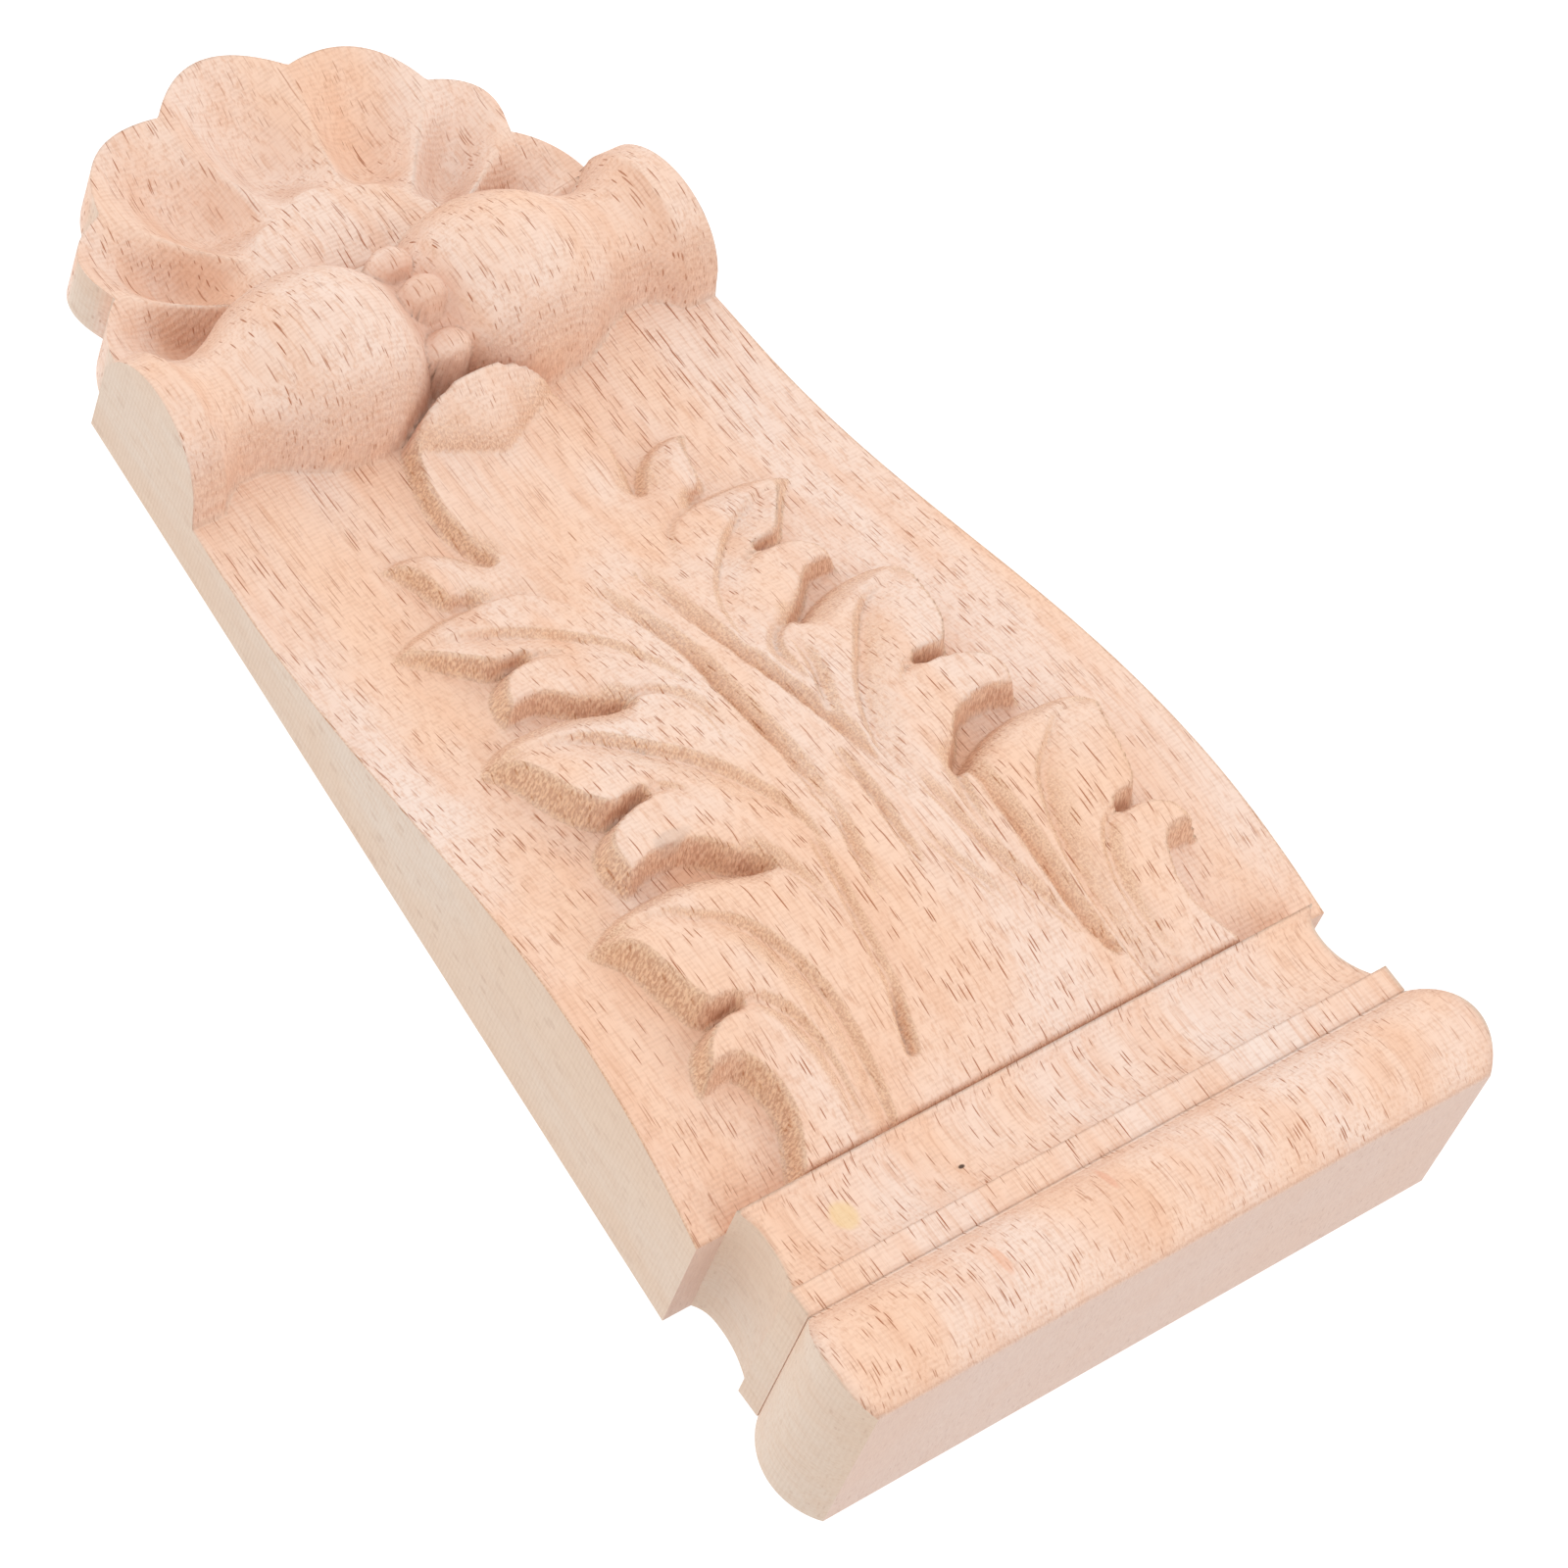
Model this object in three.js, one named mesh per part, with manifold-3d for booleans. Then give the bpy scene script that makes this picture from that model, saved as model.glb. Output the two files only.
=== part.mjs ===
// Carved wooden corbel
//
// One board of pale hardwood, carved from the front. +Z is up, the moulded abacus is at the top,
// the front faces -Y and the flat back lies in the plane y = 0. The origin is on the back, on the
// middle line, halfway down the length. Below, x is the distance from the middle line, u the
// distance down from the top end and h the height off the back.

import * as THREE from 'three';
import { mergeVertices } from 'three/addons/utils/BufferGeometryUtils.js';
import Module from 'manifold-3d';

// Driving dimensions, in millimetres

const LENGTH = 205; // top end of the abacus to the lowest point of the shell
const ABACUS_DEPTH = 30.4; // how far the abacus reaches down from the top end
const ABACUS_NECK_HALF_WIDTH = 42.7; // half width at the bottom of the cove
const ABACUS_NECK_HEIGHT = 21.6; // height off the back at the bottom of the cove
const OVOLO_PROJECTION = 6.7; // how far the ovolo stands out from the neck
const OVOLO_RADIUS = 10;
const OVOLO_CENTRE = 6.8; // down from the top end
const OVOLO_BOTTOM = 14.8;
const FILLET_PROJECTION = 2.9;
const FILLET_BOTTOM = 18.6;
const COVE_TOP_PROJECTION = 1.7;
const COVE_LOWEST = 26; // where the cove is deepest
const COVE_LIP_PROJECTION = 1.3; // the cove's lower edge

const BODY_TOP_HALF_WIDTH = 48.2;
const BODY_FOOT_HALF_WIDTH = 38.8;
const BODY_FOOT = 168; // down from the top end to the lower corner of the end blocks
const BULGE_HEIGHT = 21.5;
const BULGE_AT = 56;
const SHOULDER_HEIGHT = 17.4; // the body where it meets the abacus
const WAIST_HEIGHT = 7.8;
const WAIST_AT = 137;

const BALUSTER_AXIS = 157; // down from the top end
const BALUSTER_AXIS_HEIGHT = 8.2;
// Radius of the turned forms at distances from the middle line
const BALUSTER_PROFILE = [
  [0, 8], [3, 9.2], [5.5, 11.4], [9, 13], [13, 13.6], [17.5, 13.2], [21.5, 11.8], [25, 9.8],
  [28, 8.7], [31, 8.6], [33.5, 9.8], [35.2, 11.4],
];
const FLANGE_START = 35.2;
const FLANGE_RADIUS = 11.6;
const BEAD_RADIUS = 2.7;
const BEAD_LENGTH = 3.2; // half length of a bead along the balusters
const BEAD_RING = 9.3; // distance of the beads' centres from the balusters' axis
const BEAD_TILT = 2; // degrees that the middle bead leans away from the shell
const BEAD_SPREAD = 46; // degrees between neighbouring beads, round the balusters' axis

const SHELL_CENTRE = 160; // the point that the flutes spread from, down from the top end
const SHELL_RIM_HEIGHT = 9;
const SHELL_RIDGE_HEIGHT = 8.4;
const SHELL_HUMP_HEIGHT = 11.2;
const SHELL_FLUTE_DEPTH = 5.6;
const SHELL_FOOT = 0.46; // inner end of the flutes, as a share of the way from the centre to the rim
const SHELL_LIP = 1.05; // where the flutes would end outside the rim, as such a share
const SHELL_FLUTE_PEAK = 0.62; // below 1 the flutes are deepest near their inner ends
// Notches of the rim on one side, and how far the lobe before each of them bulges past its chord
const SHELL_NOTCHES = [
  { x: 10, u: 199.4, bulge: LENGTH - 199.4 },
  { x: 25.2, u: 189.6, bulge: 4.4 },
  { x: 30.3, u: 178, bulge: 3.8 },
  { x: 36, u: 168.4, bulge: 1.3 },
];

// Height of the leaf over the body, at distances down from the top end
const LEAF_CROWN = [
  [30, 4.6], [38, 4.6], [46, 4.8], [56, 5.4], [66, 5.4], [74, 5.2], [86, 5.6], [93, 5.2],
  [100, 4.4], [110, 3.6], [121, 2.8], [132, 3], [150, 3],
];
const BELLY_SHARE = 0.4; // share of its rise that a lobe keeps at its lower edge
const BELLY_REACH = 5; // how far a lobe's slope towards its lower edge reaches
// Lobes of one side from the lowest up: the notch below, a point of the lower edge, the tip,
// points of the back from the notch above to the tip, how far the tip falls and how far that
// reaches, and whether the lobe slopes towards its lower edge
const LOBES = [
  {
    notch: [11.6, 123.2], belly: [17, 128.6], tip: [24.4, 128.9],
    back: [[20.1, 120.4], [21.2, 124.6], [22.6, 127.6]],
    fall: 0.7, reach: 3.5, slopes: true,
  },
  {
    notch: [17.2, 118.9], belly: [25.4, 118.6], tip: [32.4, 115.7],
    back: [[22, 107.9], [25.4, 111.4], [29, 115]],
    fall: 0.9, reach: 3.5, slopes: true,
  },
  {
    notch: [18.4, 107.6], belly: [23.6, 105.8], tip: [25.6, 100.3],
    back: [[17.2, 97.3], [20.4, 100.2], [22.8, 100.7]],
    fall: 1, reach: 3, slopes: false,
  },
  {
    notch: [13.2, 94.6], belly: [25, 98.6], tip: [33.5, 95.3],
    back: [[25.8, 81.2], [28.8, 85.1], [30.4, 91], [31.7, 94.2]],
    fall: 1.2, reach: 3.5, slopes: true,
  },
  {
    notch: [21.4, 81.4], belly: [29.4, 78.2], tip: [29.6, 71],
    back: [[17.6, 68.6], [20.6, 71.7], [25.7, 72.5]],
    fall: 1.2, reach: 3, slopes: false,
  },
  {
    notch: [14.6, 65.6], belly: [27.2, 70], tip: [39.4, 67],
    back: [[33.2, 52.8], [34.9, 57.5], [36.2, 63]],
    fall: 1.4, reach: 4, slopes: true,
  },
  {
    notch: [29.4, 51.9], belly: [35.4, 50.3], tip: [38, 44.8],
    back: [[31.4, 38], [31.9, 42.8], [33.8, 45.6]],
    fall: 1.2, reach: 3, slopes: false,
  },
];
const LEAF_TOP_CORNER = [34.8, 30.3];
const LEAF_SIDE = [13.2, 131.5]; // edge of the leaf between its lowest notch and its tip
const TIP_SIDE = [11.4, 140.6]; // where the turned-up tip begins
const TIP_END = 145.9; // end of the turned-up tip on the middle line
const TIP_RISE = 6.4; // how far the lip stands over the leaf
const TIP_LIP = 1; // width of the lip's crest
const TIP_SIDE_LOSS = 0.65; // share of that rise that is lost towards the tip's sides
const CREASE_APEX = 135.3; // crease of the turned-up tip on the middle line
const CREASE_SLOPE = 0.5; // how fast the crease runs down to the sides

// Creases of the lobes, the same on both sides of the middle line: the points that each runs
// through, its depth at the first point, in the middle and at the last point, and how far its
// flanks reach on the left and on the right of its run
const CREASES = [
  {
    path: [[29, 115.8], [21.5, 113.9], [13.2, 108.6], [8.2, 103], [5.4, 95]],
    depth: [0.5, 1.4, 0.5], left: 0.9, right: 3.4,
  },
  {
    path: [[30.4, 95], [20.8, 91.6], [11.6, 80.9], [7.2, 68]],
    depth: [0.5, 1.8, 0.8], left: 1, right: 3.8,
  },
  {
    path: [[35, 66.8], [26.4, 63], [21, 56.4], [18.7, 45], [19.8, 33]],
    depth: [0.6, 1.5, 1], left: 0.8, right: 3.4,
  },
  {
    path: [[13.4, 94.8], [9, 93.6], [7, 87], [7.6, 81]],
    depth: [1.6, 1.2, 0.3], left: 2, right: 0.7,
  },
  {
    path: [[29.4, 52], [23.6, 46], [22.8, 39], [23.6, 33]],
    depth: [1.2, 1.2, 0.5], left: 0.9, right: 2.4,
  },
];
// Grooves beside the midrib, which differ on its two sides
const RIB_GROOVES = [
  {
    path: [[3.7, 68.5], [2.8, 78], [2.9, 90], [2.3, 99], [4, 111]],
    depth: [0.6, 2.6, 0.8], left: 0.7, right: 2.3,
  },
  {
    path: [[-6.9, 68], [-5.2, 79], [-3.4, 91], [-2.6, 102], [-2, 111]],
    depth: [0.8, 2.6, 0.8], left: 0.7, right: 2.3,
  },
  {
    path: [[-17.2, 37.4], [-15.5, 46], [-15.2, 56], [-15.8, 67]],
    depth: [2.2, 2.2, 1.3], left: 0.8, right: 2.4,
  },
  {
    path: [[-14.5, 41], [-10.8, 51.5], [-9, 63], [-8.4, 69]],
    depth: [0.8, 1.2, 0.5], left: 0.9, right: 2,
  },
  {
    path: [[13.7, 37.2], [11.8, 45], [8.6, 62], [7.2, 69]],
    depth: [2.6, 1, 0.4], left: 1, right: 1.1,
  },
  {
    path: [[-1, 55], [-2.2, 66], [-2.7, 74.5]],
    depth: [0.3, 1.5, 0.8], left: 0.7, right: 1.2,
  },
  {
    path: [[5.8, 55.5], [3.8, 65], [2.7, 69.5]],
    depth: [0.4, 1.4, 0.5], left: 0.7, right: 1.5,
  },
];
const GROOVE_STEPS = 7;
const WEDGE_RISE = 0.6; // how far a groove's wedge stands clear of the leaf

const CARVING_STEP = 0.81; // spacing of the points that the carving is worked out at
const CARVING_TOLERANCE = 0.25; // how far a facet may lie from the carving
const FIELD_COLUMNS = 64;
const FIELD_TILES = 4;
const BLOCK_BEHIND = 3; // how far the uncut blocks reach behind the back
const BLOCK_HEIGHT = 40;
const BLOCK_HALF_WIDTH = 60;
const ARC_POINTS = 6;
const BACK_STEPS = 7;
const PROFILE_STEPS = 20;
const SHORTEST_EDGE = 0.03;
const TOUCHING = 0.002;
const TURNED_SIDES = 28;
const TURNED_STATIONS = 16;

const WOOD = { color: 0xeecbb6, roughness: 0.72, metalness: 0 };

// Small helpers

const clamp = (value, low, high) => Math.min(high, Math.max(low, value));

function smooth(edge0, edge1, value) {
  const t = clamp((value - edge0) / (edge1 - edge0), 0, 1);
  return t * t * (3 - 2 * t);
}

// A smooth curve through pairs of position and value
function through(pairs, position) {
  const last = pairs.length - 1;
  if (position <= pairs[0][0]) return pairs[0][1];
  if (position >= pairs[last][0]) return pairs[last][1];
  let k = 0;
  while (position > pairs[k + 1][0]) k += 1;
  const slope = (i) => {
    const a = pairs[Math.max(i - 1, 0)];
    const b = pairs[Math.min(i + 1, last)];
    return (b[1] - a[1]) / (b[0] - a[0]);
  };
  const [p0, v0] = pairs[k];
  const [p1, v1] = pairs[k + 1];
  const span = p1 - p0;
  const t = (position - p0) / span;
  const t2 = t * t;
  const t3 = t2 * t;
  return (
    (2 * t3 - 3 * t2 + 1) * v0 + (t3 - 2 * t2 + t) * span * slope(k) +
    (3 * t2 - 2 * t3) * v1 + (t3 - t2) * span * slope(k + 1)
  );
}

// Points of the arc from one point to another that passes through a third halfway
function arc(from, via, to) {
  return Array.from({ length: ARC_POINTS }, (_, i) => {
    const t = i / ARC_POINTS;
    return [0, 1].map((k) => {
      const control = 2 * via[k] - (from[k] + to[k]) / 2;
      return (1 - t) ** 2 * from[k] + 2 * t * (1 - t) * control + t ** 2 * to[k];
    });
  });
}

// Nearest distance from a point to a chain of points
function nearest(chain, x, u) {
  let best = Infinity;
  for (let i = 0; i + 1 < chain.length; i += 1) {
    const [ax, au] = chain[i];
    const dx = chain[i + 1][0] - ax;
    const du = chain[i + 1][1] - au;
    const t = clamp(((x - ax) * dx + (u - au) * du) / (dx * dx + du * du), 0, 1);
    best = Math.min(best, Math.hypot(x - ax - t * dx, u - au - t * du));
  }
  return best;
}

// A smooth chain through the points of a groove
function spline(points, steps) {
  const stations = points.map(([x, u]) => new THREE.Vector3(x, u, 0));
  const curve = new THREE.CatmullRomCurve3(stations, false, 'catmullrom', 0.5);
  return curve.getPoints(steps).map((point) => [point.x, point.y]);
}

// Profile of the abacus: how far it stands out from the neck, the same on the front and on the sides
function mouldingProjection(u) {
  if (u <= OVOLO_BOTTOM) {
    return OVOLO_PROJECTION - OVOLO_RADIUS + Math.sqrt(OVOLO_RADIUS ** 2 - (u - OVOLO_CENTRE) ** 2);
  }
  if (u <= FILLET_BOTTOM) return FILLET_PROJECTION;
  if (u <= COVE_LOWEST) {
    const t = (u - FILLET_BOTTOM) / (COVE_LOWEST - FILLET_BOTTOM);
    return COVE_TOP_PROJECTION * (1 - t) ** 2;
  }
  const t = (u - COVE_LOWEST) / (ABACUS_DEPTH - COVE_LOWEST);
  return COVE_LIP_PROJECTION * t ** 3;
}

const abacusHalfWidth = (u) => ABACUS_NECK_HALF_WIDTH + mouldingProjection(u);
const abacusHeight = (u) => ABACUS_NECK_HEIGHT + mouldingProjection(u);

// The body's front is a cyma: it swells under the abacus and sinks to a waist above the balusters
function bodyHeight(u) {
  const middle = (BULGE_HEIGHT + WAIST_HEIGHT) / 2;
  const swing = (BULGE_HEIGHT - WAIST_HEIGHT) / 2;
  if (u >= WAIST_AT) return WAIST_HEIGHT;
  if (u >= BULGE_AT) return middle + swing * Math.cos((Math.PI * (u - BULGE_AT)) / (WAIST_AT - BULGE_AT));
  const shoulderAngle = Math.acos((SHOULDER_HEIGHT - middle) / swing);
  return middle + swing * Math.cos((shoulderAngle * (BULGE_AT - u)) / (BULGE_AT - ABACUS_DEPTH));
}

// Scalloped outline of the shell on one side, from the middle line up to the end block
function shellOutline() {
  const points = [[0, LENGTH]];
  let from = [-SHELL_NOTCHES[0].x, SHELL_NOTCHES[0].u];
  for (const { x, u, bulge } of SHELL_NOTCHES) {
    const chord = Math.hypot(x - from[0], u - from[1]);
    const via = [
      (from[0] + x) / 2 - (bulge * (u - from[1])) / chord,
      (from[1] + u) / 2 + (bulge * (x - from[0])) / chord,
    ];
    points.push(...arc(from, via, [x, u]).filter((point) => point[0] > 0.01));
    from = [x, u];
  }
  points.push(from);
  return points;
}

const shellRim = shellOutline();
const ridgeAngles = SHELL_NOTCHES.map(({ x, u }) => Math.atan2(x, u - SHELL_CENTRE));

function rimRadius(angle) {
  const dx = Math.sin(angle);
  const du = Math.cos(angle);
  let radius = 0;
  for (let i = 0; i + 1 < shellRim.length; i += 1) {
    const [ax, au] = shellRim[i];
    const ex = shellRim[i + 1][0] - ax;
    const eu = shellRim[i + 1][1] - au;
    const cross = dx * eu - du * ex;
    const t = ((au - SHELL_CENTRE) * dx - ax * du) / -cross;
    const reach = Math.abs(cross) < 1e-9 ? 0 : (ax * eu - (au - SHELL_CENTRE) * ex) / cross;
    if (t >= -0.01 && t <= 1.01 && reach > radius) radius = reach;
  }
  return radius || SHELL_NOTCHES[0].u - SHELL_CENTRE;
}

const RIM_SAMPLES = 180;
const rimTable = Array.from({ length: RIM_SAMPLES + 1 }, (_, i) => (
  rimRadius((i * Math.PI) / 2 / RIM_SAMPLES)
));

// Height of the shell, whose flutes spread from its centre
function shellHeight(x, u) {
  const across = Math.abs(x);
  const radius = Math.hypot(across, u - SHELL_CENTRE);
  const angle = clamp(Math.atan2(across, u - SHELL_CENTRE), 0, Math.PI / 2);
  const sample = (angle / (Math.PI / 2)) * RIM_SAMPLES;
  const cell = Math.min(Math.floor(sample), RIM_SAMPLES - 1);
  const rim = rimTable[cell] + (sample - cell) * (rimTable[cell + 1] - rimTable[cell]);
  const share = clamp(radius / rim, 0, 1.1);
  const bounds = [-ridgeAngles[0], ...ridgeAngles, Math.PI / 2];
  let k = 0;
  while (k + 2 < bounds.length && angle > bounds[k + 1]) k += 1;
  const across01 = clamp((angle - bounds[k]) / (bounds[k + 1] - bounds[k]), 0, 1);
  const flute = Math.sin(Math.PI * across01) ** 1.2;
  const along = clamp((share - SHELL_FOOT) / (SHELL_LIP - SHELL_FOOT), 0, 1);
  const bowl = Math.sin(Math.PI * along ** SHELL_FLUTE_PEAK) ** 1.8;
  const fall = SHELL_HUMP_HEIGHT - SHELL_RIDGE_HEIGHT;
  let base = SHELL_HUMP_HEIGHT - fall * smooth(SHELL_FOOT * 0.6, 0.75, share);
  base += (SHELL_RIM_HEIGHT - SHELL_RIDGE_HEIGHT) * smooth(0.8, 1, share);
  base -= fall * (1 - smooth(0, SHELL_FOOT * 0.8, share));
  return base - SHELL_FLUTE_DEPTH * flute * bowl;
}

// Edge of the leaf on one side, from the abacus down to its tip
function leafEdge() {
  const points = [];
  const lobes = [...LOBES].reverse();
  let from = LEAF_TOP_CORNER;
  for (const { notch, belly, tip, back } of lobes) {
    points.push(...spline([from, ...back, tip], BACK_STEPS).slice(0, -1), ...arc(tip, belly, notch));
    from = notch;
  }
  points.push(...arc(from, LEAF_SIDE, TIP_SIDE));
  points.push(...arc(TIP_SIDE, [TIP_SIDE[0] * 0.72, TIP_END - 1.6], [0, TIP_END]), [0, TIP_END]);
  return points;
}

const leafEdgeChain = leafEdge();
const slopingLobes = LOBES.filter(({ slopes }) => slopes);
const bellies = slopingLobes.map(({ tip, belly, notch }) => [...arc(tip, belly, notch), notch]);

// Height of the leaf's upper face, before its grooves are cut
function leafHeight(x, u) {
  const across = Math.abs(x);
  let rise = through(LEAF_CROWN, u);
  for (const belly of bellies) {
    const share = clamp(nearest(belly, across, u) / BELLY_REACH, 0, 1);
    rise *= BELLY_SHARE + (1 - BELLY_SHARE) * Math.sin((Math.PI / 2) * share);
  }
  for (const { tip, fall, reach } of LOBES) {
    rise -= fall * Math.exp(-(((across - tip[0]) ** 2 + (u - tip[1]) ** 2) / reach ** 2) * 1.4);
  }
  const crease = CREASE_APEX + CREASE_SLOPE * across;
  const curl = clamp((u - crease) / Math.max(TIP_END - crease - TIP_LIP, TIP_LIP), 0, 1);
  rise += TIP_RISE * curl * (1 - TIP_SIDE_LOSS * Math.min(1, across / TIP_SIDE[0]) ** 2);
  return bodyHeight(u) + rise;
}

// Front surface of one half as right-angled facets, fine only where the carving needs it
function frontFacets(height) {
  const columns = FIELD_COLUMNS;
  const rows = columns * FIELD_TILES;
  const top = (LENGTH - rows * CARVING_STEP) / 2;
  const at = (i, j) => j * (columns + 1) + i;
  const heights = new Float64Array((columns + 1) * (rows + 1));
  for (let j = 0; j <= rows; j += 1) {
    for (let i = 0; i <= columns; i += 1) {
      heights[at(i, j)] = height(i * CARVING_STEP, top + j * CARVING_STEP);
    }
  }
  const errors = new Float64Array(heights.length);
  const roots = [];
  for (let tile = 0; tile < FIELD_TILES; tile += 1) {
    const j = tile * columns;
    roots.push([0, j, columns, j + columns, columns, j], [columns, j + columns, 0, j, 0, j + columns]);
  }
  let changed = true;
  const measure = (ai, aj, bi, bj, ci, cj) => {
    if (Math.abs(ai - ci) + Math.abs(aj - cj) <= 1) return 0;
    const mi = (ai + bi) / 2;
    const mj = (aj + bj) / 2;
    const m = at(mi, mj);
    const own = Math.abs(heights[m] - (heights[at(ai, aj)] + heights[at(bi, bj)]) / 2);
    const error = Math.max(own, measure(ci, cj, ai, aj, mi, mj), measure(bi, bj, ci, cj, mi, mj));
    if (error > errors[m]) {
      errors[m] = error;
      changed = true;
    }
    return errors[m];
  };
  while (changed) {
    changed = false;
    roots.forEach((root) => measure(...root));
  }
  const facets = [];
  const emit = (ai, aj, bi, bj, ci, cj) => {
    const mi = (ai + bi) / 2;
    const mj = (aj + bj) / 2;
    if (Math.abs(ai - ci) + Math.abs(aj - cj) > 1 && errors[at(mi, mj)] > CARVING_TOLERANCE) {
      emit(ci, cj, ai, aj, mi, mj);
      emit(bi, bj, ci, cj, mi, mj);
    } else {
      facets.push([[ai, aj], [bi, bj], [ci, cj]]);
    }
  };
  roots.forEach((root) => emit(...root));
  const lift = ([i, j]) => {
    const z = LENGTH / 2 - top - j * CARVING_STEP;
    return [i * CARVING_STEP, -heights[at(i, j)], z];
  };
  return facets.map((facet) => facet.map(lift));
}

// Closed block under a carved front, wider and longer than the corbel's outline
function carvedBlock(height) {
  const half = frontFacets(height);
  const mirror = ([x, y, z]) => [-x, y, z];
  const front = [...half, ...half.map(([a, b, c]) => [mirror(a), mirror(c), mirror(b)])];
  const flatten = ([x, , z]) => [x, BLOCK_BEHIND, z];
  const key = (point) => point.map((value) => value.toFixed(4)).join(' ');
  const open = new Map();
  for (const facet of front) {
    for (let k = 0; k < 3; k += 1) {
      const a = facet[k];
      const b = facet[(k + 1) % 3];
      if (!open.delete(`${key(b)} | ${key(a)}`)) open.set(`${key(a)} | ${key(b)}`, [a, b]);
    }
  }
  const triangles = [...front, ...front.map(([a, b, c]) => [flatten(a), flatten(c), flatten(b)])];
  for (const [a, b] of open.values()) {
    triangles.push([b, a, flatten(a)], [b, flatten(a), flatten(b)]);
  }
  const geometry = new THREE.BufferGeometry();
  geometry.setAttribute('position', new THREE.Float32BufferAttribute(triangles.flat(2), 3));
  return geometry;
}

// A point of the front view
const place = ([x, u]) => new THREE.Vector2(x, LENGTH / 2 - u);

// The shape whose right half is given, from the top down, with the left half mirrored
function mirrored(right, lowest) {
  const left = right.map(([x, u]) => [-x, u]).reverse();
  return new THREE.Shape([...right, ...lowest, ...left].map(place));
}

// Outline of the corbel seen from the front
function planOutline() {
  const side = [];
  for (let i = 0; i <= 10; i += 1) {
    const u = (i * OVOLO_BOTTOM) / 10;
    side.push([abacusHalfWidth(u), u]);
  }
  side.push([ABACUS_NECK_HALF_WIDTH + FILLET_PROJECTION, OVOLO_BOTTOM]);
  side.push([ABACUS_NECK_HALF_WIDTH + FILLET_PROJECTION, FILLET_BOTTOM]);
  for (let i = 0; i <= 10; i += 1) {
    const u = FILLET_BOTTOM + 0.001 + (i * (ABACUS_DEPTH - FILLET_BOTTOM - 0.001)) / 10;
    side.push([abacusHalfWidth(u), i === 0 ? FILLET_BOTTOM : u]);
  }
  side.push([BODY_TOP_HALF_WIDTH, ABACUS_DEPTH]);
  side.push([BODY_FOOT_HALF_WIDTH, BODY_FOOT]);
  side.push(...[...shellRim].reverse().filter((point) => point[0] > 0.01));
  return mirrored(side, [[0, LENGTH]]);
}

// A prism from the back to past the highest carving
function prism(shape) {
  const geometry = new THREE.ExtrudeGeometry(shape, { depth: BLOCK_HEIGHT, bevelEnabled: false });
  return geometry.rotateX(Math.PI / 2);
}

// A bar lying across the front, with a section of height over distance down
function crossBar(section) {
  const from = section[0][0];
  const to = section[section.length - 1][0];
  const points = [[from, -BLOCK_BEHIND], ...section, [to, -BLOCK_BEHIND]];
  const shape = new THREE.Shape(points.map(([u, h]) => new THREE.Vector2(h, LENGTH / 2 - u)));
  const geometry = new THREE.ExtrudeGeometry(shape, { depth: 2 * BLOCK_HALF_WIDTH, bevelEnabled: false });
  geometry.rotateX(Math.PI / 2);
  geometry.rotateZ(-Math.PI / 2);
  return geometry.translate(BLOCK_HALF_WIDTH, 0, 0);
}

function abacusSection() {
  const section = [];
  for (let i = 0; i <= 10; i += 1) {
    const u = (i * OVOLO_BOTTOM) / 10;
    section.push([u, abacusHeight(u)]);
  }
  section.push([OVOLO_BOTTOM, ABACUS_NECK_HEIGHT + FILLET_PROJECTION]);
  section.push([FILLET_BOTTOM, ABACUS_NECK_HEIGHT + FILLET_PROJECTION]);
  for (let i = 0; i <= 10; i += 1) {
    const u = FILLET_BOTTOM + 0.001 + (i * (ABACUS_DEPTH - FILLET_BOTTOM - 0.001)) / 10;
    section.push([i === 0 ? FILLET_BOTTOM : u, abacusHeight(u)]);
  }
  return section;
}

function bodySection() {
  const from = ABACUS_DEPTH - 1;
  return Array.from({ length: PROFILE_STEPS + 1 }, (_, i) => {
    const u = from + (i * (BODY_FOOT - from)) / PROFILE_STEPS;
    return [u, bodyHeight(u)];
  });
}

// A closed skin over loops of points that each have the same number of points
function skin(loops) {
  const count = loops[0].length;
  const triangles = [];
  for (let i = 0; i + 1 < loops.length; i += 1) {
    for (let k = 0; k < count; k += 1) {
      const a = loops[i][k];
      const b = loops[i][(k + 1) % count];
      const c = loops[i + 1][k];
      const d = loops[i + 1][(k + 1) % count];
      triangles.push([a, b, c], [b, d, c]);
    }
  }
  const first = loops[0];
  const last = loops[loops.length - 1];
  for (let k = 1; k + 1 < count; k += 1) {
    triangles.push([first[0], first[k + 1], first[k]], [last[0], last[k], last[k + 1]]);
  }
  const geometry = new THREE.BufferGeometry();
  geometry.setAttribute('position', new THREE.Float32BufferAttribute(triangles.flat(2), 3));
  return geometry;
}

// The turned forms lying across the body
function balusters() {
  const stations = [];
  for (let k = 0; k < TURNED_STATIONS; k += 1) {
    const x = (k * FLANGE_START) / TURNED_STATIONS;
    stations.push([x, through(BALUSTER_PROFILE, x)]);
  }
  stations.push([FLANGE_START, FLANGE_RADIUS]);
  stations.push([BODY_TOP_HALF_WIDTH, FLANGE_RADIUS]);
  const all = [...stations.slice(1).reverse().map(([x, r]) => [-x, r]), ...stations];
  return skin(all.map(([x, radius]) => Array.from({ length: TURNED_SIDES }, (_, k) => {
    const angle = (2 * Math.PI * k) / TURNED_SIDES;
    const h = BALUSTER_AXIS_HEIGHT + radius * Math.cos(angle);
    return [x, -h, LENGTH / 2 - BALUSTER_AXIS - radius * Math.sin(angle)];
  })));
}

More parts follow.
